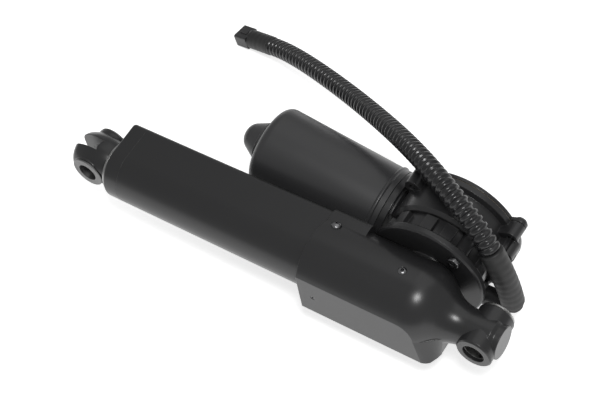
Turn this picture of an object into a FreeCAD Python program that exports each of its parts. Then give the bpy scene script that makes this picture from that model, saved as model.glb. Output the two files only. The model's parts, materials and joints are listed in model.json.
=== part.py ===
"""Electric linear actuator with a side-mounted worm gearmotor. Millimetres.

The frame: the origin is the centre of the rear pivot bore, +X runs to the rod end,
+Y is the pivot pins' axis and points to the flat side, +Z is up.
"""

import math
import os

import FreeCAD
import Part

V = FreeCAD.Vector
ORIGIN = V(0, 0, 0)
X = V(1, 0, 0)
Y = V(0, 1, 0)
Z = V(0, 0, 1)

# pivots and travel
STROKE = 150.0
PIN_SPAN = 345.0
PIN_BORE_R = 8.05
BOSS_R = 13.6
BOSS_FACE = 17.4
BUSH_NEAR = 14.6

# rear housing
NECK_R = 14.4
NECK_TIP_R = 12.6
NECK_END = -13.8
HOUSING_R = 32.7
HOUSING_END = 136.0
FLAT_Y = 29.5
FOOT_Z = -23.0
CROWN_START = 104.0
CROWN_WALL = 2.2

# cover tube and its cap
TUBE_R = 24.0
TUBE_BORE_R = 20.0
TUBE_START = 112.0
TUBE_END = 309.0
CORNER_Y = -28.0
CORNER_Z = 27.0
CORNER_R = 4.0
CAP_END = 323.0

# rod, nut and lead screw
ROD_R = 14.0
ROD_BORE_R = 9.6
ROD_START = 119.0
ROD_END = 328.0
NUT_R = 19.6
NUT_START = 105.0
SCREW_CREST_R = 8.0
SCREW_ROOT_R = 6.2
SCREW_PITCH = 5.0
SCREW_THREAD_START = 101.0
SCREW_END = 292.0
CLEVIS_START = 327.5
CLEVIS_R = 19.3
CLEVIS_NOSE = 19.0
FORK_BOSS_R = 14.2
FORK_NEAR = 17.4
FORK_FAR = 19.4
FORK_FLANGE = 1.4
SLOT_HALF = 5.3

# gear train: the output shaft crosses the main axis here
DRIVE_X = 62.0
MITRE_TEETH = 16
MITRE_R = 19.0
MITRE_INNER = 12.0
WHEEL_TEETH = 40
WHEEL_R = 19.0
WORM_R = 5.4
WORM_Y = -69.0
MOTOR_TILT = 10.7
WORM_PITCH = 2 * math.pi * WHEEL_R / WHEEL_TEETH

# gearbox castings, along Y
ADAPTER_NEAR = -27.0
ADAPTER_FAR = -48.0
CASE_FAR = -78.0
COVER_FAR = -84.0
DRUM_R = 45.0
RIM_R = 47.5
WEB_R = 38.0

# motor, measured along its own axis from the worm wheel
MOTOR_R = 34.2
MOTOR_WALL = 1.8
CAN_START = 52.6
CAN_END = 163.0
NOSE_END = 184.0
SHAFT_END = 170.0
SHAFT_R = 4.0

# conduit
CONDUIT_D = 16.0
ROUTE = (
    V(1.8, -43, -17.8),
    V(3.8, -43, -5.3),
    V(8.4, -42.4, 12.3),
    V(15.4, -42.8, 29),
    V(26, -45.2, 44.6),
    V(40.5, -49.8, 55.4),
    V(57.5, -57.4, 60),
    V(76, -68.6, 58),
    V(98, -82.6, 51),
    V(125, -100.2, 38.4),
    V(158, -120.6, 22),
    V(194, -140.8, 6),
    V(230, -158, -6.8),
    V(264, -172.6, -18),
    V(293, -183.8, -28.4),
    V(316, -189.8, -36.2),
    V(337.6, -192.3, -40.6),
)

TILT = math.radians(MOTOR_TILT)
MOTOR_DIR = V(math.cos(TILT), 0, math.sin(TILT))
MOTOR_UP = V(-math.sin(TILT), 0, math.cos(TILT))
WORM_CENTRE = V(DRIVE_X, WORM_Y, 0) - MOTOR_UP * (WHEEL_R + WORM_R)
DRIVE = V(DRIVE_X, 0, 0)
ROD_PIN = V(PIN_SPAN, 0, 0)


def turned(points, base=ORIGIN, along=X):
    """A solid turned about the line through base; points are (along, radius), and
    a third value marks the middle point of an arc."""
    edges = []
    start = V(points[0][0], points[0][1], 0)
    middle = None
    for point in points[1:] + points[:1]:
        here = V(point[0], point[1], 0)
        if len(point) == 3:
            middle = here
            continue
        if middle:
            edges.append(Part.Arc(start, middle, here).toShape())
        else:
            edges.append(Part.makeLine(start, here))
        start = here
        middle = None
    solid = Part.Face(Part.Wire(edges)).revolve(ORIGIN, X, 360)
    solid.Placement = FreeCAD.Placement(base, FreeCAD.Rotation(X, along))
    return solid


def rod(radius, start, end, base=ORIGIN, along=X, chamfer=0.0):
    """A cylinder between two stations along a line, with both ends chamfered."""
    inner = radius - chamfer
    points = [(start, 0), (start, inner)]
    if chamfer:
        points.append((start + chamfer, radius))
        points.append((end - chamfer, radius))
    points.append((end, inner))
    points.append((end, 0))
    return turned(points, base, along)


def ring(outer, inner, start, end, base=ORIGIN, along=X, chamfer=0.0):
    """A plain ring between two stations along a line, its outer edges chamfered."""
    points = [(start, inner), (start, outer - chamfer)]
    if chamfer:
        points.append((start + chamfer, outer))
        points.append((end - chamfer, outer))
    points.append((end, outer - chamfer))
    points.append((end, inner))
    return turned(points, base, along)


def block(low, high):
    """A box between two corners."""
    size = V(*high) - V(*low)
    return Part.makeBox(size.x, size.y, size.z, V(*low))


def prism(points, sweep):
    """A polygon of vectors swept along a vector."""
    return Part.Face(Part.makePolygon(points + points[:1])).extrude(sweep)


def polar(radius, degrees, y, centre=DRIVE):
    """A point about the output shaft's axis, turned from +X towards +Z."""
    angle = math.radians(degrees)
    return centre + V(radius * math.cos(angle), y, radius * math.sin(angle))


def joined(shapes):
    """One solid from overlapping shapes."""
    return shapes[0].fuse(shapes[1:]).removeSplitter()


def thread(root, crest, pitch, length, width):
    """A right-hand thread ridge about +X that starts at the origin, facing -Z."""
    helix = Part.makeHelix(pitch, length, root)
    half = width / 2
    section = Part.makePolygon([
        V(root - 0.4, 0, -half * 1.5),
        V(crest, 0, -half * 0.6),
        V(crest, 0, half * 0.6),
        V(root - 0.4, 0, half * 1.5),
        V(root - 0.4, 0, -half * 1.5),
    ])
    sweep = Part.BRepOffsetAPI.MakePipeShell(Part.Wire(helix))
    sweep.setFrenetMode(True)
    sweep.add(section)
    sweep.build()
    sweep.makeSolid()
    ridge = sweep.shape()
    ridge.rotate(ORIGIN, Y, 90)
    return ridge


def gear_outline(teeth, root, tip, thick, centre, first, second):
    """A closed outline of slim teeth, with one tooth centred on the first direction."""
    step = 2 * math.pi / teeth
    mean = (root + tip) / 2
    points = []
    for tooth in range(teeth):
        angle = tooth * step
        corners = (
            (root, -0.62 * thick / mean),
            (tip, -0.32 * thick / mean),
            (tip, 0.32 * thick / mean),
            (root, 0.62 * thick / mean),
        )
        for radius, offset in corners:
            turn = angle + offset
            radial = first * (radius * math.cos(turn)) + second * (radius * math.sin(turn))
            points.append(centre + radial)
    return points


def mitre_gear(axis, first, second):
    """A mitre gear whose cone points at the drive centre."""
    pitch = 2 * math.pi * MITRE_R / MITRE_TEETH
    outline = gear_outline(
        MITRE_TEETH, MITRE_R - 2.7, MITRE_R + 1.9, 0.38 * pitch,
        DRIVE + axis * MITRE_R, first, second,
    )
    scale = MITRE_INNER / MITRE_R
    small = [DRIVE + (point - DRIVE) * scale for point in outline]
    large_wire = Part.makePolygon(outline + outline[:1])
    small_wire = Part.makePolygon(small + small[:1])
    return Part.makeLoft([small_wire, large_wire], True, True)


# ---- rear end and cover tube ----


def housing_envelope():
    """The outside of the rear housing: dome, barrel, flat side, foot and crown."""
    barrel = turned([
        (12, 0),
        (12, NECK_R),
        (21.6, 16.1, 0),
        (30, 20.95),
        (36.3, 26.6),
        (44.1, 31.13, 0),
        (53, HOUSING_R),
        (HOUSING_END, HOUSING_R),
        (HOUSING_END, 0),
    ])
    crown = tube_section(CROWN_START, HOUSING_END, CROWN_WALL)
    over = block((0, FLAT_Y, -60), (200, 60, 60))
    return joined([barrel, housing_foot(), crown]).cut(over)


def foot_outline(start, bulge, corner, level):
    """The foot seen from above, at one level: a flat side with a rounded end."""
    low = V(start.x, 0, level)
    first = V(start.x, start.y, level)
    middle = V(bulge.x, bulge.y, level)
    last = V(corner, FLAT_Y, level)
    far_side = V(HOUSING_END, FLAT_Y, level)
    far_low = V(HOUSING_END, 0, level)
    return Part.Wire([
        Part.makeLine(low, first),
        Part.Arc(first, middle, last).toShape(),
        Part.makeLine(last, far_side),
        Part.makeLine(far_side, far_low),
        Part.makeLine(far_low, low),
    ])


def housing_foot():
    """The square foot under the flat side, which runs into the dome."""
    upper = foot_outline(V(24, 17, 0), V(32.5, 23.9, 0), 40.4, 0)
    lower = foot_outline(V(26.5, 15, 0), V(28.6, 25, 0), 35.5, FOOT_Z)
    foot = Part.makeLoft([upper, lower], True, True)
    limit = turned([
        (20, 0),
        (20, 15),
        (24, 22),
        (27, 30.5),
        (31, 37),
        (36, 40),
        (HOUSING_END, 40),
        (HOUSING_END, 0),
    ])
    return foot.common(limit)


def tube_section(start, end, grow=0.0):
    """The cover tube's outside: round, and drawn out to one rounded corner."""
    lean = math.atan2(CORNER_Z, CORNER_Y)
    reach = math.hypot(CORNER_Y, CORNER_Z)
    open_angle = math.acos(TUBE_R / reach)
    kernel = reach * (1 - CORNER_R / TUBE_R)

    def spot(offset, radius, turn):
        across = offset * math.cos(lean) + radius * math.cos(lean + turn)
        up = offset * math.sin(lean) + radius * math.sin(lean + turn)
        return V(start, across, up)

    left = spot(0, TUBE_R + grow, open_angle)
    right = spot(0, TUBE_R + grow, -open_angle)
    back = spot(0, TUBE_R + grow, math.pi)
    high_left = spot(kernel, CORNER_R + grow, open_angle)
    high_right = spot(kernel, CORNER_R + grow, -open_angle)
    tip = spot(kernel, CORNER_R + grow, 0)
    edges = [
        Part.makeLine(left, high_left),
        Part.Arc(high_left, tip, high_right).toShape(),
        Part.makeLine(high_right, right),
        Part.Arc(right, back, left).toShape(),
    ]
    return Part.Face(Part.Wire(edges)).extrude(X * (end - start))


def rear_housing():
    """Casting with the neck, the pivot boss, the gear chamber and the tube socket."""
    neck = turned([
        (NECK_END, 0),
        (NECK_END, NECK_TIP_R - 0.3),
        (NECK_END + 0.3, NECK_TIP_R),
        (NECK_END + 4.4, NECK_TIP_R + 0.2),
        (NECK_END + 7.2, NECK_R),
        (20, NECK_R),
        (20, 0),
    ])
    boss = rod(BOSS_R, -BOSS_FACE, BOSS_FACE, ORIGIN, Y, 1.0)
    body = joined([housing_envelope(), neck, boss])
    chamber = rod(22.5, 42, 86)
    bearing_seat = rod(20.0, 84, 98.5)
    lip = rod(TUBE_BORE_R, 97, TUBE_START)
    side_door = rod(21.0, -40, 0, DRIVE, Y)
    cross_bore = joined([rod(10.2, -30, BUSH_NEAR, ORIGIN, Y), rod(8.3, 0, 30, ORIGIN, Y)])
    body = body.cut([chamber, bearing_seat, lip, side_door, cross_bore])
    socket = tube_section(TUBE_START, HOUSING_END + 1)
    body = body.cut([socket, plug_hole(), roll_pin_hole(), button_hole()])
    return body


def plug_hole():
    """The grease plug's seat on top of the housing."""
    return rod(3.2, 20, 40, V(64, -1, 0), Z)


def roll_pin_hole():
    """The roll pin's hole through the flat side into the tube wall."""
    return rod(1.6, 20.5, 40, V(124, 0, -4), Y)


def button_hole():
    """The button screw's hole through the housing's crown."""
    return rod(2.5, 28.0, 40, V(126.6, 0, 0), V(0, -0.43, 0.903))


def rear_pivot_bush():
    """Plated flanged bush pressed through the rear boss."""
    sleeve = ring(10.2, PIN_BORE_R, -BOSS_FACE, BUSH_NEAR, ORIGIN, Y)
    flange = ring(12.6, PIN_BORE_R, -BOSS_FACE - 2.0, -BOSS_FACE, ORIGIN, Y, 0.5)
    return joined([sleeve, flange])


def cover_tube():
    """Extruded tube with a round bore and a wiring channel in its square corner."""
    bore = rod(TUBE_BORE_R, TUBE_START - 1, TUBE_END + 1)
    channel = rod(2.6, TUBE_START - 1, TUBE_END + 1, V(0, -21.5, 20.7))
    tube = tube_section(TUBE_START, TUBE_END)
    return tube.cut([bore, channel, roll_pin_hole(), button_hole()])


def front_cap():
    """Cap with a spigot in the tube, bored for the guide bush and the seal."""
    cap = tube_section(TUBE_END, CAP_END)
    rim = [edge for edge in cap.Edges if edge.BoundBox.XMin > CAP_END - 0.1]
    cap = cap.makeFillet(2.2, rim)
    spigot = rod(TUBE_BORE_R, TUBE_END - 10, TUBE_END + 1)
    return joined([cap, spigot]).cut(rod(17.0, TUBE_END - 20, CAP_END + 1))


def guide_bush():
    """Bush in the cap that guides the rod."""
    return ring(17.0, ROD_R + 0.05, TUBE_END - 10, CAP_END - 6)


def rod_seal():
    """Lip seal in front of the guide bush."""
    return ring(17.0, ROD_R + 0.06, CAP_END - 6, CAP_END)


def wiper_ring():
    """Bright ring that covers the seal on the cap's face."""
    return ring(21.6, ROD_R + 0.3, CAP_END, CAP_END + 2.6, chamfer=0.7)


def grease_plug():
    """Domed plug with a hexagon socket, screwed into the top of the housing."""
    base = V(64, -1, 0)
    plug = turned([
        (22.6, 0),
        (22.6, 3.2),
        (HOUSING_R - 0.2, 3.2),
        (HOUSING_R + 0.5, 2.4, 0),
        (HOUSING_R + 0.9, 0),
    ], base, Z)
    corners = [base + V(1.5 * math.cos(turn), 1.5 * math.sin(turn), HOUSING_R - 2.4) for turn in
               (math.radians(60 * index) for index in range(6))]
    return plug.cut(prism(corners, Z * 10))


def roll_pin():
    """Split pin that keeps the tube in the housing."""
    pin = ring(1.6, 0.8, 20.5, FLAT_Y - 0.3, V(124, 0, -4), Y)
    return pin.cut(block((123.7, 0, -4), (124.3, 40, 0)))


def button_screw():
    """Domed screw on the housing's crown."""
    base = V(126.6, 0, 0)
    along = V(0, -0.43, 0.903)
    shank = rod(2.5, 28.0, HOUSING_R + 0.2, base, along)
    head = turned([
        (HOUSING_R - 0.6, 0),
        (HOUSING_R - 0.6, 4.2),
        (HOUSING_R + 0.9, 3.9),
        (HOUSING_R + 2.0, 2.6, 0),
        (HOUSING_R + 2.4, 0),
    ], base, along)
    socket = rod(1.3, HOUSING_R + 0.8, HOUSING_R + 5, base, along)
    seat = housing_envelope()
    return joined([shank, head.cut(seat)]).cut(socket)


# ---- screw body ----


def bearing_outer():
    """Outer race of the thrust bearing behind the lead screw."""
    race = ring(20.0, 15.6, 86.2, 98.2, chamfer=0.8)
    return race.cut(ball_track())


def ball_track():
    """The balls' groove, as a torus."""
    return Part.makeTorus(14.2, 3.4, V(92.2, 0, 0), X)


def bearing_inner():
    """Inner race on the screw's journal."""
    return ring(12.8, 8.5, 86.2, 98.2, chamfer=0.5).cut(ball_track())


def bearing_balls():
    """Balls of the screw bearing, joined by their cage."""
    cage = ring(14.6, 13.8, 90.6, 93.8)
    balls = []
    for index in range(9):
        angle = 2 * math.pi * index / 9
        centre = V(92.2, 14.2 * math.cos(angle), 14.2 * math.sin(angle))
        balls.append(Part.makeSphere(3.1, centre))
    return joined([cage] + balls)


def bearing_clip():
    """Retaining ring that holds the bearing in its seat."""
    clip = ring(20.0, 16.6, 98.5, 100.1)
    return clip.cut(block((90, -3, -30), (110, 3, 0)))


def lead_screw():
    """Journal, shoulder and one long trapezoidal thread."""
    length = 187.0
    core = turned([
        (66, 0),
        (66, 5.0),
        (82, 5.0),
        (82, 8.5),
        (99, 8.5),
        (99, SCREW_ROOT_R),
        (SCREW_END - 1.5, SCREW_ROOT_R),
        (SCREW_END, SCREW_ROOT_R - 1.5),
        (SCREW_END, 0),
    ])
    ridge = thread(SCREW_ROOT_R, SCREW_CREST_R, SCREW_PITCH, length, 1.9)
    ridge.translate(V(SCREW_THREAD_START + 1.5, 0, 0))
    return core.fuse(ridge)


def screw_gear():
    """Mitre gear keyed on the screw's rear end."""
    gear = mitre_gear(X, -Y, Z)
    hub = rod(14.0, DRIVE_X + MITRE_R - 0.5, 84.5)
    return joined([gear, hub]).cut([rod(8.5, 81.99, 100), rod(5.0, 60, 82)])


# ---- output shaft body ----


def output_shaft():
    """Shaft from the worm wheel to the mitre pinion."""
    return turned([
        (13.5, 0),
        (13.5, 4.5),
        (14.0, 5.0),
        (22.0, 5.0),
        (22.0, 7.0),
        (58.0, 7.0),
        (58.0, 5.0),
        (75.0, 5.0),
        (75.0, 0),
    ], DRIVE, -Y)


def output_pinion():
    """Mitre pinion on the output shaft, half a tooth out of step."""
    half = math.pi / MITRE_TEETH
    first = X * math.cos(half) + Z * math.sin(half)
    second = Z * math.cos(half) - X * math.sin(half)
    gear = mitre_gear(-Y, first, second)
    hub = rod(12.0, MITRE_R - 0.5, 22.0, DRIVE, -Y)
    return joined([gear, hub]).cut(rod(5.0, 0, 30, DRIVE, -Y))


def worm_wheel():
    """Wheel with a solid rim, a thin web and a hub."""
    face = 3.5
    outline = gear_outline(
        WHEEL_TEETH, WHEEL_R - 1.1, WHEEL_R + 0.8, 0.35 * WORM_PITCH,
        V(DRIVE_X, WORM_Y - face, 0), -MOTOR_UP, MOTOR_DIR,
    )
    wheel = prism(outline, Y * (2 * face))
    hub = rod(10.0, -WORM_Y - 5.0, -WORM_Y + 5.0, DRIVE, -Y)
    groove = ring(15.5, 10.5, -WORM_Y - 4, -WORM_Y - 1.5, DRIVE, -Y)
    other = ring(15.5, 10.5, -WORM_Y + 1.5, -WORM_Y + 4, DRIVE, -Y)
    return joined([wheel, hub]).cut([groove, other, rod(5.0, 50, 90, DRIVE, -Y)])


def shaft_clip():
    """Retaining washer behind the worm wheel."""
    return ring(8.0, 5.0, -WORM_Y + 5.0, -WORM_Y + 6.0, DRIVE, -Y)


# ---- gearbox castings ----


def rib(degrees, outer, near, far, width):
    """A radial rib on the adapter's waist."""
    shape = block((20, -far, -width / 2), (outer, -near, width / 2))
    shape.rotate(ORIGIN, Y, -degrees)
    shape.translate(DRIVE)
    return shape


ADAPTER_SCREWS = (130, 230, 310)
ADAPTER_PADS = (20, 52, 86, 108, 160, 205, 255, 285, 340)
LUGS = ((46, 46.5, 6.0), (155, 51.3, 5.5), (232, 49.0, 6.5))


def gearbox_adapter():
    """Ribbed casting between the rear housing and the worm gearbox."""
    near = -ADAPTER_NEAR
    far = -ADAPTER_FAR
    disc = turned([
        (near, 0),
        (near, DRUM_R - 1.2),
        (near + 1.2, DRUM_R),
        (near + 5.0, DRUM_R),
        (near + 6.0, DRUM_R - 1.0),
        (near + 6.0, 0),
    ], DRIVE, -Y)
    waist = rod(WEB_R, near + 5, far, DRIVE, -Y)
    ribs = [rib(angle, 41.6, near + 5, far - 2, 9) for angle in ADAPTER_PADS]
    pads = [rod(5.5, near + 5, far, polar(37.5, angle, 0), -Y) for angle in ADAPTER_SCREWS]
    gland = rod(8.0, -51.0, -20.0, V(DRIVE_X, -44, -25), X)
    gland = gland.cut(rod(DRUM_R + 4.0, far, far + 10, DRIVE, -Y))
    body = joined([disc, waist, gland] + ribs + pads)
    body = body.cut(housing_envelope())
    spigot = rod(21.0, 24, near + 2, DRIVE, -Y)
    core = rod(24.0, near, near + 6, DRIVE, -Y).cut(housing_envelope())
    body = joined([body, spigot, core])
    bush_bore = rod(10.0, 0, 60, DRIVE, -Y)
    holes = [rod(2.6, 20, 60, polar(37.5, angle, 0), -Y) for angle in ADAPTER_SCREWS]
    return body.cut([bush_bore] + holes)


def adapter_screws():
    """Socket screws on the adapter's near face."""
    shapes = []
    for angle in ADAPTER_SCREWS:
        base = polar(37.5, angle, 0)
        shank = rod(2.6, -ADAPTER_NEAR - 0.5, 54, base, -Y)
        head = rod(4.4, -ADAPTER_NEAR - 3.2, -ADAPTER_NEAR, base, -Y, 0.5)
        socket = rod(2.0, 0, -ADAPTER_NEAR - 1.2, base, -Y)
        shapes.append(joined([shank, head]).cut(socket))
    return Part.makeCompound(shapes)


def shaft_bush():
    """Bronze bush that carries the output shaft."""
    return ring(10.0, 7.05, 24.5, -ADAPTER_FAR + 4.0, DRIVE, -Y, 0.4)


def lug(degrees, reach, radius, near, far):
    """A screw lug on the rim, with a web to the drum."""
    post = rod(radius, near, far, polar(reach, degrees, 0), -Y)
    web = block((30, -far, -radius), (reach, -near, radius))
    web.rotate(ORIGIN, Y, -degrees)
    web.translate(DRIVE)
    return joined([post, web])


def lug_holes():
    """Clearance holes for the cover screws."""
    return [rod(2.6, 40, 90, polar(reach, angle, 0), -Y) for angle, reach, radius in LUGS]


def motor_space(gap=0.0):
    """The room that the motor takes beside the gearbox."""
    return rod(MOTOR_R + 0.4, CAN_START - 6 - gap, CAN_START + 30, WORM_CENTRE, MOTOR_DIR)


def gearbox_case():
    """Worm gearbox casting with its rim lugs, worm tunnel and motor face."""
    near = -ADAPTER_FAR
    far = -CASE_FAR
    drum = turned([
        (near, 0),
        (near, DRUM_R - 4.5),
        (near + 2.5, DRUM_R - 2.0),
        (far - 5.5, DRUM_R - 2.0),
        (far - 4, RIM_R),
        (far, RIM_R),
        (far, 0),
    ], DRIVE, -Y)
    lugs = [lug(*place, far - 12, far) for place in LUGS]
    step = lug(162, 51.0, 5.5, 54, 67)
    tunnel = rod(13.5, -34, CAN_START - 6, WORM_CENTRE, MOTOR_DIR, 1.5)
    neck = turned([
        (20, 0),
        (20, 20),
        (40, 24),
        (CAN_START - 7.5, 31.5),
        (CAN_START - 6, 31.5),
        (CAN_START - 6, 0),
    ], WORM_CENTRE, MOTOR_DIR)
    slab = block((0, CASE_FAR, -70), (200, ADAPTER_FAR - 4, 70))
    body = joined([drum, tunnel, neck.common(slab), step] + lugs)
    body = body.cut(block((0, -140, -80), (108, CASE_FAR, 80)))
    pocket = rod(22.5, 58, far + 1, DRIVE, -Y)
    shaft_hole = rod(10.0, 0, 52, DRIVE, -Y)
    thrust_hole = rod(7.3, 50, 60, DRIVE, -Y)
    worm_bore = rod(6.9, -27, 80, WORM_CENTRE, MOTOR_DIR)
    adapter_holes = [rod(2.6, 40, 54.2, polar(37.5, angle, 0), -Y) for angle in ADAPTER_SCREWS]
    bores = [pocket, shaft_hole, thrust_hole, worm_bore, motor_space()]
    return body.cut(bores + lug_holes() + adapter_holes)


def gearbox_gasket():
    """Thin gasket under the cover."""
    gasket = ring(RIM_R - 0.5, 24.0, -CASE_FAR, -CASE_FAR + 0.6, DRIVE, -Y)
    return gasket.cut(lug_holes() + [motor_space(0.3)])


def gearbox_cover():
    """Stamped cover with a raised hub and lug ears."""
    near = -CASE_FAR + 0.6
    far = -COVER_FAR
    plate = turned([
        (near, 0),
        (near, RIM_R),
        (near + 2.4, RIM_R),
        (near + 3.2, RIM_R - 0.8),
        (near + 3.2, 27),
        (far, 24),
        (far, 0),
    ], DRIVE, -Y)
    ears = [lug(*place, near, near + 3.2) for place in LUGS]
    body = joined([plate] + ears)
    hollow = rod(8.4, 0, near + 2.2, DRIVE, -Y)
    return body.cut([hollow, motor_space(0.3)] + lug_holes())


def cover_screws():
    """Pan-head screws in the rim lugs."""
    shapes = []
    for angle, reach, radius in LUGS:
        base = polar(reach, angle, 0)
        shank = rod(2.6, -CASE_FAR - 10, -COVER_FAR - 1.0, base, -Y)
        head = turned([
            (-COVER_FAR - 2.2, 0),
            (-COVER_FAR - 2.2, 4.8),
            (-COVER_FAR - 0.6, 4.4),
            (-COVER_FAR, 3.2),
            (-COVER_FAR, 0),
        ], base, -Y)
        shapes.append(joined([shank, head]))
    return Part.makeCompound(shapes)


# ---- motor ----


def on_motor(points):
    """A solid turned about the motor's axis."""
    return turned(points, WORM_CENTRE, MOTOR_DIR)


def motor_flange():
    """Cast flange between the gearbox and the motor can."""
    start = CAN_START - 6
    flange = on_motor([
        (start, 11.5),
        (start, MOTOR_R - 0.8),
        (start + 0.8, MOTOR_R),
        (CAN_START - 0.6, MOTOR_R),
        (CAN_START, MOTOR_R - 0.6),
        (CAN_START, MOTOR_R - MOTOR_WALL),
        (CAN_START + 3, MOTOR_R - MOTOR_WALL),
        (CAN_START + 3, MOTOR_R - MOTOR_WALL - 3),
        (CAN_START, MOTOR_R - MOTOR_WALL - 3),
        (CAN_START, 11.5),
    ])
    return flange


def motor_bearing():
    """Bearing race in the motor flange."""
    return on_motor([(46.6, 4.05), (46.6, 11.5), (52.6, 11.5), (52.6, 4.05)])


def motor_can():
    """Deep-drawn can with a rolled bead, a round shoulder and a stepped nose."""
    inner = MOTOR_R - MOTOR_WALL
    return on_motor([
        (CAN_START, inner),
        (CAN_START, MOTOR_R),
        (CAN_START + 4.0, MOTOR_R),
        (CAN_START + 5.6, MOTOR_R + 1.1, 0),
        (CAN_START + 7.2, MOTOR_R),
        (CAN_END - 8.0, MOTOR_R),
        (CAN_END - 2.34, MOTOR_R - 2.34, 0),
        (CAN_END, MOTOR_R - 8.0),
        (CAN_END, 19.2),
        (CAN_END + 2.4, 18.6),
        (CAN_END + 2.4, 12.0),
        (CAN_END - MOTOR_WALL, 12.0),
        (CAN_END - MOTOR_WALL, inner - 6.2),
        (CAN_END - 3.62, inner - 1.82, 0),
        (CAN_END - 8.0, inner),
    ])


def nose_cap():
    """Cone that closes the can's end round the nose bearing."""
    return on_motor([
        (CAN_END - 1.8, 8.0),
        (CAN_END - 1.8, 12.0),
        (CAN_END + 2.4, 12.0),
        (CAN_END + 2.4, 17.4),
        (CAN_END + 5.2, 17.2),
        (CAN_END + 5.6, 16.2),
        (CAN_END + 15.0, 11.0),
        (CAN_END + 19.6, 6.9, 0),
        (NOSE_END, 2.0),
        (NOSE_END, 0),
        (CAN_END + 14.0, 0),
        (CAN_END + 14.0, 5.0),
        (CAN_END + 8.0, 8.0),
    ])


def worm_bush():
    """Sintered bush at the worm's closed end."""
    return on_motor([
        (-26.5, SHAFT_R + 0.05),
        (-26.5, 6.9),
        (-18.5, 6.9),
        (-18.5, SHAFT_R + 0.05),
    ])


def nose_bush():
    """Sintered bush at the armature's far end."""
    return on_motor([
        (CAN_END - 1.0, SHAFT_R + 0.05),
        (CAN_END - 1.0, 8.0),
        (CAN_END + 6.0, 8.0),
        (CAN_END + 6.0, SHAFT_R + 0.05),
    ])


def magnet(side):
    """One arc magnet against the can's inside."""
    outer = MOTOR_R - MOTOR_WALL - 0.1
    shell = on_motor([(82, 23.7), (82, outer), (150, outer), (150, 23.7)])
    half = block((-60, 8, -60), (260, 60, 60)) if side > 0 else block((-60, -60, -60), (260, -8, 60))
    half.Placement = FreeCAD.Placement(WORM_CENTRE, FreeCAD.Rotation(X, MOTOR_DIR))
    return shell.common(half)


def brush_holder():
    """Plate that carries the brushes."""
    plate = on_motor([(57.5, 12.0), (57.5, 28.0), (60.0, 28.0), (60.0, 12.0)])
    outer = MOTOR_R - MOTOR_WALL - 0.1
    foot = on_motor([(55.6, 26.0), (55.6, outer), (60.0, outer), (60.0, 26.0)])
    return joined([plate, foot])


def brushes():
    """Two carbon brushes beside the commutator."""
    shapes = []
    for side in (-1, 1):
        low = (60.0, min(side * 10.4, side * 22.0), -3.5)
        high = (69.0, max(side * 10.4, side * 22.0), 3.5)
        brush = block(low, high)
        brush.Placement = FreeCAD.Placement(WORM_CENTRE, FreeCAD.Rotation(X, MOTOR_DIR))
        shapes.append(brush)
    return Part.makeCompound(shapes)


# ---- armature body ----


def worm_shaft():
    """Armature shaft with the worm cut on its end."""
    turns = 10
    start = -turns * WORM_PITCH / 2
    shaft = turned([
        (-25, 0),
        (-25, 3.5),
        (-24.5, SHAFT_R),
        (start - 2, SHAFT_R),
        (start, 4.3),
        (-start, 4.3),
        (-start + 2, SHAFT_R),
        (SHAFT_END - 0.5, SHAFT_R),
        (SHAFT_END, 3.5),
        (SHAFT_END, 0),
    ])
    ridge = thread(4.3, WORM_R + 0.9, WORM_PITCH, turns * WORM_PITCH, 1.05)
    ridge.translate(V(start, 0, 0))
    shape = shaft.fuse(ridge)
    shape.Placement = FreeCAD.Placement(WORM_CENTRE, FreeCAD.Rotation(Y, -MOTOR_TILT))
    return shape


def armature_core():
    """Laminated core with its winding slots."""
    core = rod(22.5, 84, 148)
    slots = []
    for index in range(10):
        slot = block((80, 12, -1.6), (152, 24, 1.6))
        pocket = rod(3.4, 80, 152, V(0, 15, 0))
        cutter = joined([slot, pocket])
        cutter.rotate(ORIGIN, X, 36 * index)
        slots.append(cutter)
    core = core.cut(slots + [rod(SHAFT_R, 0, 200)])
    core.Placement = FreeCAD.Placement(WORM_CENTRE, FreeCAD.Rotation(X, MOTOR_DIR))
    return core


def armature_coils():
    """Coil heads at both ends of the core."""
    shapes = []
    for start, end in ((75.5, 84.0), (148.0, 156.0)):
        points = [(start, SHAFT_R + 1), (start, 15), (start + 2, 18.5), (end - 2, 18.5)]
        points += [(end, 17), (end, SHAFT_R + 1)]
        shapes.append(on_motor(points))
    return Part.makeCompound(shapes)


def commutator():
    """Copper commutator on the shaft."""
    drum = on_motor([(61, SHAFT_R), (61, 10.0), (72, 10.0), (72, 11.5), (74, 11.5), (74, SHAFT_R)])
    return drum


# ---- rod body ----


def extension_tube():
    """The moving rod: a polished tube."""
    tube = ring(ROD_R, ROD_BORE_R, ROD_START, ROD_END - 0.5, chamfer=0.5)
    return tube.cut(clevis_pin_hole())


def drive_nut():
    """Nut with a flange that guides it in the tube; it clears the modelled thread."""
    return turned([
        (NUT_START, SCREW_CREST_R + 0.3),
        (NUT_START, 18.0),
        (NUT_START + 1.6, NUT_R),
        (ROD_START - 0.4, NUT_R),
        (ROD_START, NUT_R - 0.4),
        (ROD_START, ROD_BORE_R),
        (ROD_START + 12.0, ROD_BORE_R),
        (ROD_START + 12.0, SCREW_CREST_R + 0.3),
    ])


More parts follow.
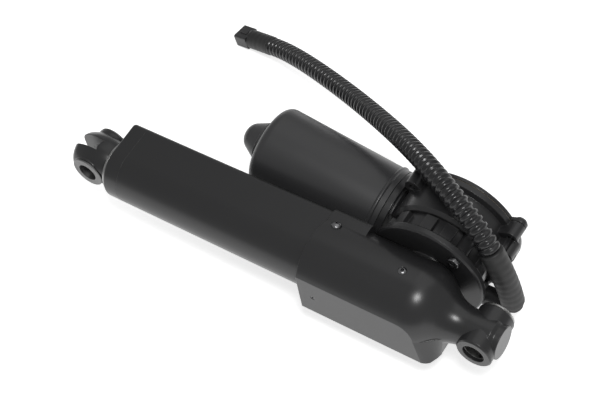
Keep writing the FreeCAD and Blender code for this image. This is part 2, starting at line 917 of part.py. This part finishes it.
def rod_clevis():
    """Barrel-shaped fork with a boss on each ear; the slot's floor is a cutter's arc."""
    barrel = turned([
        (CLEVIS_START, 0),
        (CLEVIS_START, ROD_R + 0.6),
        (CLEVIS_START + 1.4, ROD_R + 2.4),
        (PIN_SPAN - 6, CLEVIS_R, 0),
        (PIN_SPAN + 12, CLEVIS_R - 2.0),
        (PIN_SPAN + 17.4, CLEVIS_R - 6.2, 0),
        (PIN_SPAN + CLEVIS_NOSE, 8.0),
        (PIN_SPAN + CLEVIS_NOSE, 0),
    ])
    boss = rod(FORK_BOSS_R, FORK_FLANGE - FORK_FAR, FORK_NEAR - FORK_FLANGE, ROD_PIN, Y, 0.6)
    shank = rod(ROD_BORE_R, CLEVIS_START - 14, CLEVIS_START + 1)
    sides = block((300, FORK_FLANGE - FORK_FAR, -30), (380, FORK_NEAR - FORK_FLANGE, 30))
    body = joined([barrel.common(sides), boss, shank])
    arc = rod(30.0, -SLOT_HALF, SLOT_HALF, V(PIN_SPAN + 18, 0, 0), Y)
    bore = rod(10.2, -30, 30, ROD_PIN, Y)
    return body.cut([arc, bore, clevis_pin_hole()])


def clevis_pin_hole():
    """The hole of the pin that ties the clevis to the rod."""
    return rod(2.0, -20, 20, V(ROD_END - 8, 0, 0), Z)


def rod_end_bushes():
    """One flanged bush in each ear."""
    shapes = []
    for along, face in ((Y, FORK_NEAR), (-Y, FORK_FAR)):
        sleeve = ring(10.2, PIN_BORE_R, SLOT_HALF, face - FORK_FLANGE, ROD_PIN, along)
        flange = ring(13.8, PIN_BORE_R, face - FORK_FLANGE, face, ROD_PIN, along, 0.4)
        shapes.append(joined([sleeve, flange]))
    return Part.makeCompound(shapes)


def clevis_pin():
    """Cross pin through the rod and the clevis shank."""
    return rod(2.0, -13.4, 13.4, V(ROD_END - 8, 0, 0), Z, 0.3)


# ---- conduit ----


def route_edges(points):
    """Straight runs joined by tangent arcs, and the arcs' radii."""
    edges = []
    radii = []
    start = points[0]
    for before, corner, after in zip(points, points[1:], points[2:]):
        arrive = (corner - before).normalize()
        leave = (after - corner).normalize()
        half = arrive.getAngle(leave) / 2
        tangent = 0.45 * min(corner.distanceToPoint(before), corner.distanceToPoint(after))
        radii.append(tangent / math.tan(half))
        enter = corner - arrive * tangent
        exit_point = corner + leave * tangent
        inward = (leave - arrive).normalize()
        middle = corner + inward * (radii[-1] / math.cos(half) - radii[-1])
        edges.append(Part.makeLine(start, enter))
        edges.append(Part.Arc(enter, middle, exit_point).toShape())
        start = exit_point
    edges.append(Part.makeLine(start, points[-1]))
    return edges, radii


def conduit():
    """Split-loom conduit as a plain round tube along its route."""
    edges, radii = route_edges(ROUTE)
    path = Part.Wire(edges)
    print("conduit radii", [round(radius, 1) for radius in radii])
    print("conduit length", round(path.Length, 1))
    direction = (ROUTE[1] - ROUTE[0]).normalize()
    circle = Part.Wire(Part.makeCircle(CONDUIT_D / 2, ROUTE[0], direction))
    sweep = Part.BRepOffsetAPI.MakePipeShell(path)
    sweep.setFrenetMode(False)
    sweep.add(circle)
    sweep.build()
    sweep.makeSolid()
    tube = sweep.shape()
    section = math.pi * CONDUIT_D ** 2 / 4
    print("conduit volume ratio", round(tube.Volume / (section * path.Length), 4))
    return tube


def cable_boot():
    """Moulded elbow where the conduit leaves the gearbox."""
    start = ROUTE[0]
    along = (ROUTE[1] - ROUTE[0]).normalize()
    collar = turned([
        (-5.5, 0),
        (-5.5, 5.0),
        (-4, 7.0),
        (0, 7.0),
        (0, 0),
    ], start, along)
    bend = start - along * 5.2
    arm = rod(5.0, 0, 26, bend, V(1, -0.12, -0.18))
    gland = rod(8.05, -51.05, -20.0, V(DRIVE_X, -44, -25), X)
    adapter = rod(WEB_R + 0.1, 20, 60, DRIVE, -Y)
    return joined([collar, Part.makeSphere(5.0, bend), arm]).cut([gland, adapter])


def connector_block():
    """Rectangular plug housing on the conduit's far end."""
    end = ROUTE[-1]
    along = (ROUTE[-1] - ROUTE[-2]).normalize()
    body = block((0, -8.0, -6.2), (13.6, 8.0, 6.2))
    corners = [edge for edge in body.Edges if edge.BoundBox.XLength > 10]
    body = body.makeFillet(1.6, corners)
    pocket = block((9.0, -6.0, -4.2), (20, 6.0, 4.2))
    latch = block((2.5, -2.6, 5.8), (10, 2.6, 7.0))
    body = joined([body, latch]).cut(pocket)
    body.Placement = FreeCAD.Placement(end, level_turn(along))
    return body


def level_turn(along):
    """A rotation that points +X along a direction and keeps +Y level."""
    side = Z.cross(along).normalize()
    up = along.cross(side)
    return FreeCAD.Rotation(along, side, up, "XYZ")


def connector_pins():
    """Blade terminals inside the plug housing."""
    end = ROUTE[-1]
    along = (ROUTE[-1] - ROUTE[-2]).normalize()
    shapes = []
    for side in (-4, 0, 4):
        blade = block((9.0, side - 1.2, -0.5), (12.4, side + 1.2, 0.5))
        blade.Placement = FreeCAD.Placement(end, level_turn(along))
        shapes.append(blade)
    return Part.makeCompound(shapes)


NODES = {
    "rear_housing": rear_housing,
    "rear_pivot_bush": rear_pivot_bush,
    "cover_tube": cover_tube,
    "front_cap": front_cap,
    "guide_bush": guide_bush,
    "rod_seal": rod_seal,
    "wiper_ring": wiper_ring,
    "grease_plug": grease_plug,
    "roll_pin": roll_pin,
    "button_screw": button_screw,
    "bearing_outer": bearing_outer,
    "bearing_clip": bearing_clip,
    "gearbox_adapter": gearbox_adapter,
    "adapter_screws": adapter_screws,
    "shaft_bush": shaft_bush,
    "gearbox_case": gearbox_case,
    "gearbox_gasket": gearbox_gasket,
    "gearbox_cover": gearbox_cover,
    "cover_screws": cover_screws,
    "motor_flange": motor_flange,
    "motor_bearing": motor_bearing,
    "motor_can": motor_can,
    "nose_cap": nose_cap,
    "nose_bush": nose_bush,
    "worm_bush": worm_bush,
    "magnet_near": lambda: magnet(1),
    "magnet_far": lambda: magnet(-1),
    "brush_holder": brush_holder,
    "brushes": brushes,
    "cable_boot": cable_boot,
    "conduit": conduit,
    "connector_block": connector_block,
    "connector_pins": connector_pins,
    "bearing_inner": bearing_inner,
    "bearing_balls": bearing_balls,
    "lead_screw": lead_screw,
    "screw_gear": screw_gear,
    "output_shaft": output_shaft,
    "output_pinion": output_pinion,
    "worm_wheel": worm_wheel,
    "shaft_clip": shaft_clip,
    "worm_shaft": worm_shaft,
    "armature_core": armature_core,
    "armature_coils": armature_coils,
    "commutator": commutator,
    "extension_tube": extension_tube,
    "drive_nut": drive_nut,
    "rod_clevis": rod_clevis,
    "rod_end_bushes": rod_end_bushes,
    "clevis_pin": clevis_pin,
}

os.makedirs("parts", exist_ok=True)
for name, make in NODES.items():
    shape = make()
    state = "valid" if shape.isValid() else "INVALID"
    print(f"{name}: {len(shape.Solids)} solid(s), {shape.Volume:.0f} mm3, {state}")
    shape.exportStep(f"parts/{name}.step")
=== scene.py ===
"""The look of the actuator: materials, conduit, fine detail, light and camera. Metres."""

import json
import math

import bmesh
import bpy
from mathutils import Matrix, Vector


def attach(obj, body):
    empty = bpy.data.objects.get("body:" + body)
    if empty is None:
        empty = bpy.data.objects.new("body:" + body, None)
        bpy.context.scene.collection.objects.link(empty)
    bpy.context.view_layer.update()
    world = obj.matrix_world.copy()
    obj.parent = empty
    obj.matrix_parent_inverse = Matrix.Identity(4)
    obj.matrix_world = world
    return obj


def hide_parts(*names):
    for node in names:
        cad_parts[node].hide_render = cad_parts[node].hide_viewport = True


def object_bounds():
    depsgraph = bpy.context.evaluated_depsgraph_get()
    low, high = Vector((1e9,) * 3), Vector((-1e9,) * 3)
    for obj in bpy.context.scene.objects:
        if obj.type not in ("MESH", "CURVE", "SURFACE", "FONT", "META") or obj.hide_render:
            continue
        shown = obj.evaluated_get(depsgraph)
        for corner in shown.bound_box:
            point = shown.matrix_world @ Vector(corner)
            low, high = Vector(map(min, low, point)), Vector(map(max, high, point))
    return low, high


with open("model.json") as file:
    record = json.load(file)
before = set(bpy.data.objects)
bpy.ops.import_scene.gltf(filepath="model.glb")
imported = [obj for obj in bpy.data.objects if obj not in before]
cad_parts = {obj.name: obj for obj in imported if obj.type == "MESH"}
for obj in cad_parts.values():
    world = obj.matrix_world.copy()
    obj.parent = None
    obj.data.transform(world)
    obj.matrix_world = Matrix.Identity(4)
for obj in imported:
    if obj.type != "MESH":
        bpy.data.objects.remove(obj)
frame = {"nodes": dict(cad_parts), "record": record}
cad_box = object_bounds()

# ---- camera ----

CAM_LENS = 79.77
CAM_SENSOR = 36.0
CAM_AT = Vector((-0.2484, 0.4172, 0.7875))
CAM_RIGHT = Vector((-0.8276, -0.5451, -0.1336))
CAM_UP = Vector((0.3666, -0.7053, 0.6068))
CAM_BACK = Vector((-0.4250, 0.4532, 0.7836))


def add_camera():
    """The camera that shows the whole actuator from above its flat side."""
    data = bpy.data.cameras.new("camera")
    data.lens = CAM_LENS
    data.sensor_width = CAM_SENSOR
    data.clip_start = 0.01
    data.clip_end = 20
    camera = bpy.data.objects.new("camera", data)
    bpy.context.scene.collection.objects.link(camera)
    turn = Matrix((CAM_RIGHT, CAM_UP, CAM_BACK)).transposed()
    camera.matrix_world = Matrix.Translation(CAM_AT) @ turn.to_4x4()
    bpy.context.scene.camera = camera


# ---- materials ----


class Nodes:
    """A small helper that builds one node material round a Principled shader."""

    def __init__(self, name):
        self.material = bpy.data.materials.new(name)
        self.material.use_nodes = True
        self.tree = self.material.node_tree
        self.shader = self.tree.nodes["Principled BSDF"]
        self.place = self.new("ShaderNodeTexCoord").outputs["Object"]
        self.normal = None

    def new(self, kind):
        return self.tree.nodes.new(kind)

    def link(self, source, target):
        self.tree.links.new(source, target)

    def noise(self, scale, detail=2.0, rough=0.5):
        """A noise's value at the point, with scale in features per metre."""
        node = self.new("ShaderNodeTexNoise")
        node.inputs["Scale"].default_value = scale
        node.inputs["Detail"].default_value = detail
        node.inputs["Roughness"].default_value = rough
        self.link(self.place, node.inputs["Vector"])
        return node.outputs["Fac"]

    def ramp(self, value, low, high):
        """A value stretched from the middle of a noise to a range."""
        node = self.new("ShaderNodeMapRange")
        node.inputs["From Min"].default_value = 0.3
        node.inputs["From Max"].default_value = 0.7
        node.inputs["To Min"].default_value = low
        node.inputs["To Max"].default_value = high
        self.link(value, node.inputs["Value"])
        return node.outputs["Result"]

    def mix(self, value, first, second):
        """A colour between two colours."""
        node = self.new("ShaderNodeMix")
        node.data_type = "RGBA"
        node.inputs[6].default_value = (*first, 1)
        node.inputs[7].default_value = (*second, 1)
        self.link(value, node.inputs[0])
        return node.outputs[2]

    def round_edges(self, radius):
        """Rounds sharp edges in the shading."""
        node = self.new("ShaderNodeBevel")
        node.samples = 6
        node.inputs["Radius"].default_value = radius
        self.normal = node.outputs["Normal"]

    def bump(self, value, strength, distance):
        """Adds relief of that height, in metres."""
        node = self.new("ShaderNodeBump")
        node.inputs["Strength"].default_value = strength
        node.inputs["Distance"].default_value = distance
        self.link(value, node.inputs["Height"])
        if self.normal:
            self.link(self.normal, node.inputs["Normal"])
        self.normal = node.outputs["Normal"]

    def done(self):
        if self.normal:
            self.link(self.normal, self.shader.inputs["Normal"])
        return self.material


# how far the rounded normal agrees with the face's own, beside an edge and on it
OFF_EDGE = 0.97
ON_EDGE = 0.80
WEAR_GRAIN = 240


def edge_wear(nodes, base, worn, amount):
    """Colour that turns to the worn colour in small patches along sharp edges."""
    geometry = nodes.new("ShaderNodeNewGeometry")
    turn = nodes.new("ShaderNodeVectorMath")
    turn.operation = "DOT_PRODUCT"
    nodes.link(nodes.normal, turn.inputs[0])
    nodes.link(geometry.outputs["Normal"], turn.inputs[1])
    edge = nodes.new("ShaderNodeMapRange")
    edge.inputs["From Min"].default_value = OFF_EDGE
    edge.inputs["From Max"].default_value = ON_EDGE
    edge.inputs["To Max"].default_value = amount
    nodes.link(turn.outputs["Value"], edge.inputs["Value"])
    patch = nodes.new("ShaderNodeMath")
    patch.operation = "MULTIPLY"
    nodes.link(edge.outputs["Result"], patch.inputs[0])
    nodes.link(nodes.ramp(nodes.noise(WEAR_GRAIN, 3), 0.0, 1.0), patch.inputs[1])
    nodes.link(nodes.mix(patch.outputs[0], base, worn), nodes.shader.inputs["Base Color"])


def black_paint(name, grain, height, rough, edge, tone):
    """Satin black paint: a fine grain, slightly uneven gloss and thin worn edges."""
    nodes = Nodes(name)
    base = (tone, tone, tone * 1.04)
    worn = (0.09, 0.09, 0.09)
    nodes.round_edges(edge)
    edge_wear(nodes, base, worn, 0.5)
    gloss = nodes.ramp(nodes.noise(45, 3), rough - 0.012, rough + 0.016)
    nodes.link(gloss, nodes.shader.inputs["Roughness"])
    nodes.bump(nodes.noise(grain, 2), 0.35, height)
    return nodes.done()


def metal(name, colour, rough, streak=600, height=0.000004, edge=0.0003):
    """Bare or plated metal with fine tool marks and faint stains."""
    nodes = Nodes(name)
    stained = tuple(channel * 0.72 for channel in colour)
    stain = nodes.ramp(nodes.noise(90, 4), 0.0, 1.0)
    gloss = nodes.ramp(nodes.noise(streak, 2), rough - 0.06, rough + 0.08)
    nodes.link(nodes.mix(stain, stained, colour), nodes.shader.inputs["Base Color"])
    nodes.link(gloss, nodes.shader.inputs["Roughness"])
    nodes.shader.inputs["Metallic"].default_value = 1.0
    nodes.round_edges(edge)
    nodes.bump(nodes.noise(streak * 2, 2), 0.4, height)
    return nodes.done()


def plastic(name, colour, rough, grain=900, height=0.00001, edge=0.0004):
    """Moulded plastic, rubber or fibre with a fine grain."""
    nodes = Nodes(name)
    darker = tuple(channel * 0.8 for channel in colour)
    shade = nodes.ramp(nodes.noise(70, 3), 0.0, 1.0)
    gloss = nodes.ramp(nodes.noise(130, 3), rough - 0.05, rough + 0.06)
    nodes.link(nodes.mix(shade, darker, colour), nodes.shader.inputs["Base Color"])
    nodes.link(gloss, nodes.shader.inputs["Roughness"])
    nodes.round_edges(edge)
    nodes.bump(nodes.noise(grain, 3), 0.4, height)
    return nodes.done()


MATERIALS = {
    "black_casting": black_paint("black_casting", 1400, 0.00002, 0.29, 0.0008, 0.019),
    "black_tube": black_paint("black_tube", 2200, 0.000008, 0.34, 0.0005, 0.018),
    "black_steel": black_paint("black_steel", 1800, 0.000006, 0.38, 0.0005, 0.034),
    "plated_steel": metal("plated_steel", (0.42, 0.42, 0.415), 0.34),
    "dull_steel": metal("dull_steel", (0.20, 0.20, 0.20), 0.50, 500, 0.00001),
    "bright_rod": metal("bright_rod", (0.80, 0.80, 0.81), 0.12),
    "ground_steel": metal("ground_steel", (0.50, 0.50, 0.50), 0.34),
    "dark_screw": metal("dark_screw", (0.24, 0.24, 0.245), 0.28),
    "bronze": metal("bronze", (0.48, 0.32, 0.16), 0.42),
    "copper": metal("copper", (0.72, 0.34, 0.20), 0.32),
    "nylon_gear": plastic("nylon_gear", (0.74, 0.72, 0.65), 0.42),
    "seal_rubber": plastic("seal_rubber", (0.017, 0.017, 0.017), 0.55),
    "gasket_fibre": plastic("gasket_fibre", (0.16, 0.13, 0.09), 0.8),
    "loom_plastic": plastic("loom_plastic", (0.013, 0.013, 0.014), 0.27, 700, 0.000004, 0.00015),
    "black_plastic": plastic("black_plastic", (0.030, 0.030, 0.031), 0.42),
    "ferrite": plastic("ferrite", (0.09, 0.09, 0.10), 0.6),
    "lamination": metal("lamination", (0.24, 0.24, 0.25), 0.45),
    "carbon": plastic("carbon", (0.04, 0.04, 0.04), 0.55),
}


# nodes whose surface is worn duller than their slot's material
DULLED = {"rod_end_bushes": "dull_steel"}


def finish_nodes():
    """Gives every CAD node the material of its slot, or a duller one."""
    for part in frame["record"]["subparts"]:
        node = frame["nodes"][part["node"]]
        material = MATERIALS[DULLED.get(part["node"], part["material_slot"])]
        if node.data.materials:
            for slot in node.material_slots:
                slot.link = "OBJECT"
                slot.material = material
        else:
            node.data.materials.append(material)


def add_piece(name, mesh_source, slot, body):
    """A new smooth object from a bmesh, with its slot's material, riding on a body."""
    mesh = bpy.data.meshes.new(name)
    mesh_source.to_mesh(mesh)
    mesh_source.free()
    mesh.shade_smooth()
    piece = bpy.data.objects.new(name, mesh)
    bpy.context.scene.collection.objects.link(piece)
    piece.data.materials.append(MATERIALS[slot])
    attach(piece, body)
    return piece


# ---- conduit ----

CONDUIT_D = 0.016
AROUND = 48
ROUTE = (
    (0.0018, -0.0430, -0.0178),
    (0.0038, -0.0430, -0.0053),
    (0.0084, -0.0424, 0.0123),
    (0.0154, -0.0428, 0.0290),
    (0.0260, -0.0452, 0.0446),
    (0.0405, -0.0498, 0.0554),
    (0.0575, -0.0574, 0.0600),
    (0.0760, -0.0686, 0.0580),
    (0.0980, -0.0826, 0.0510),
    (0.1250, -0.1002, 0.0384),
    (0.1580, -0.1206, 0.0220),
    (0.1940, -0.1408, 0.0060),
    (0.2300, -0.1580, -0.0068),
    (0.2640, -0.1726, -0.0180),
    (0.2930, -0.1838, -0.0284),
    (0.3160, -0.1898, -0.0362),
    (0.3376, -0.1923, -0.0406),
)
RIB_PITCH = 0.0054
RIB_DEPTH = 0.0016
RIB_FLANK = 0.26
RIB_GAP = 0.10
SLIT_TURN = 3.6
SLIT_HALF_ANGLE = 0.08
SLIT_DEPTH = 0.0007

LOW_SLEEVE_END = 0.054
LOW_SLEEVE_R = 0.0088
LOW_SLEEVE_RIPPLE = 0.00012
FAR_SLEEVE_START = 0.408
FAR_SLEEVE_R = 0.0083
FAR_SLEEVE_RIPPLE = 0.00010
SLEEVE_STEP = 0.0005
SLEEVE_LIP = 0.0008


def centreline():
    """Evenly spaced points on the smooth spline through the route's control points."""
    data = bpy.data.curves.new("route", "CURVE")
    data.dimensions = "3D"
    data.resolution_u = 48
    spline = data.splines.new("NURBS")
    spline.points.add(len(ROUTE) - 1)
    for point, place in zip(spline.points, ROUTE):
        point.co = (*place, 1.0)
    spline.order_u = 3
    spline.use_endpoint_u = True
    carrier = bpy.data.objects.new("route", data)
    mesh = bpy.data.meshes.new_from_object(carrier)
    points = [vertex.co.copy() for vertex in mesh.vertices]
    bpy.data.objects.remove(carrier)
    bpy.data.meshes.remove(mesh)
    return points


class Path:
    """A polyline with its lengths and a frame that doesn't twist."""

    def __init__(self, points):
        self.points = points
        self.lengths = [0.0]
        for before, after in zip(points, points[1:]):
            self.lengths.append(self.lengths[-1] + (after - before).length)
        self.sides = []
        side = Vector((0, 1, 0))
        for index in range(len(points)):
            along = self.tangent(index)
            side = (side - along * side.dot(along)).normalized()
            self.sides.append(side)

    @property
    def length(self):
        return self.lengths[-1]

    def tangent(self, index):
        """The direction of the path at a point of it."""
        first = self.points[max(index - 1, 0)]
        last = self.points[min(index + 1, len(self.points) - 1)]
        return (last - first).normalized()

    def at(self, station):
        """The point, side and up directions at a length along the path."""
        station = min(max(station, 0.0), self.length)
        index = 1
        while index < len(self.lengths) - 1 and self.lengths[index] < station:
            index += 1
        gap = self.lengths[index] - self.lengths[index - 1]
        share = (station - self.lengths[index - 1]) / gap
        point = self.points[index - 1].lerp(self.points[index], share)
        side = self.sides[index - 1].lerp(self.sides[index], share).normalized()
        along = self.tangent(index - 1).lerp(self.tangent(index), share).normalized()
        return point, side, along.cross(side)


def swept(path, profile, radius_at):
    """A closed tube through stations along the path; radius_at(station, angle) is its surface."""
    build = bmesh.new()
    rings = []
    for station in profile:
        point, side, up = path.at(station)
        ring = []
        for step in range(AROUND):
            angle = 2 * math.pi * step / AROUND
            radius = radius_at(station, angle)
            offset = side * (radius * math.cos(angle)) + up * (radius * math.sin(angle))
            ring.append(build.verts.new(point + offset))
        rings.append(ring)
    for ring, following in zip(rings, rings[1:]):
        for step in range(AROUND):
            after = (step + 1) % AROUND
            build.faces.new((ring[step], ring[after], following[after], following[step]))
    build.faces.new(list(reversed(rings[0])))
    build.faces.new(rings[-1])
    return build


def smooth_step(value):
    """0 to 1 with a soft start and end."""
    value = min(max(value, 0.0), 1.0)
    return value * value * (3 - 2 * value)


def rib_height(station):
    """0 in a valley and 1 on a crest of the corrugation."""
    phase = (station / RIB_PITCH) % 1.0
    rise = smooth_step((phase - RIB_GAP) / RIB_FLANK)
    fall = smooth_step((1.0 - RIB_GAP - phase) / RIB_FLANK)
    return min(rise, fall)


def loom_radius(station, angle):
    """The corrugated surface, with its lengthways slit."""
    radius = CONDUIT_D / 2 - RIB_DEPTH * (1 - rib_height(station))
    from_slit = abs((angle - SLIT_TURN + math.pi) % (2 * math.pi) - math.pi)
    if from_slit < SLIT_HALF_ANGLE:
        radius -= SLIT_DEPTH
    return radius


def sleeve_radius(start, end, outer, ripple):
    """A shrunk sleeve whose surface shows the ribs under it faintly."""

    def radius_at(station, angle):
        near_end = min(station - start, end - station)
        lip = smooth_step((near_end + 0.0002) / 0.0012)
        return outer - SLEEVE_LIP * (1 - lip) + ripple * rib_height(station)

    return radius_at


def stations(start, end, step):
    """Evenly spaced lengths from start to end, about a step apart."""
    count = max(2, round((end - start) / step))
    return [start + (end - start) * index / count for index in range(count + 1)]


def add_sleeve(name, path, start, end, outer, ripple):
    """One shrunk sleeve over a stretch of the conduit."""
    surface = sleeve_radius(start, end, outer, ripple)
    build = swept(path, stations(start, end, SLEEVE_STEP), surface)
    return add_piece(name, build, "seal_rubber", "frame")


def add_conduit():
    """The corrugated loom with a shrunk sleeve on each end."""
    points = centreline()
    path = Path(points)
    length = path.length
    loom = swept(path, stations(0.0, length, RIB_PITCH / 10), loom_radius)
    loom_piece = add_piece("loom", loom, "loom_plastic", "frame")
    low_sleeve = add_sleeve(
        "low_sleeve", path, 0.0, LOW_SLEEVE_END, LOW_SLEEVE_R, LOW_SLEEVE_RIPPLE)
    far_sleeve = add_sleeve(
        "far_sleeve", path, FAR_SLEEVE_START, length, FAR_SLEEVE_R, FAR_SLEEVE_RIPPLE)
    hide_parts("conduit")
    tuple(ROUTE[0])


# ---- stage ----

FLOOR_HALF = 3.0
FLOOR_GLOW = 0.66
SURROUND = 0.38
MIDDLE = (0.15, -0.03, 0.0)
MOTOR_MIDDLE = (0.15, -0.06, 0.0)


def add_floor():
    """A plain white floor under the actuator."""
    build = bmesh.new()
    bmesh.ops.create_grid(build, x_segments=1, y_segments=1, size=FLOOR_HALF)
    mesh = bpy.data.meshes.new("floor")
    build.to_mesh(mesh)
    build.free()
    floor = bpy.data.objects.new("floor", mesh)
    floor.location = (0, 0, cad_box[0].z)
    bpy.context.scene.collection.objects.link(floor)
    nodes = Nodes("floor")
    white = nodes.mix(nodes.noise(4), (0.90, 0.90, 0.90), (0.93, 0.93, 0.93))
    nodes.link(white, nodes.shader.inputs["Base Color"])
    nodes.shader.inputs["Roughness"].default_value = 0.9
    nodes.shader.inputs["Emission Color"].default_value = (1, 1, 1, 1)
    nodes.shader.inputs["Emission Strength"].default_value = FLOOR_GLOW
    mesh.materials.append(nodes.done())


def add_area(name, at, aim, size, power):
    """A square soft light at a place, aimed at a point."""
    data = bpy.data.lights.new(name, "AREA")
    data.shape = "SQUARE"
    data.size = size
    data.energy = power
    lamp = bpy.data.objects.new(name, data)
    lamp.location = at
    direction = Vector(aim) - Vector(at)
    lamp.rotation_euler = direction.to_track_quat("-Z", "Y").to_euler()
    bpy.context.scene.collection.objects.link(lamp)


def add_light():
    """A compact panel overhead, a broad fill over the motor and a pale surround."""
    add_area("overhead", (-0.28, 0.30, 1.15), MIDDLE, 0.26, 6.5)
    add_area("fill", (0.0, -0.9, 1.5), MOTOR_MIDDLE, 1.6, 4.0)
    world = bpy.data.worlds.new("world")
    bpy.context.scene.world = world
    world.use_nodes = True
    background = world.node_tree.nodes["Background"]
    background.inputs["Color"].default_value = (1, 1, 1, 1)
    background.inputs["Strength"].default_value = SURROUND
    bpy.context.scene.view_settings.view_transform = "Standard"


add_camera()
add_floor()
finish_nodes()
add_conduit()
add_light()
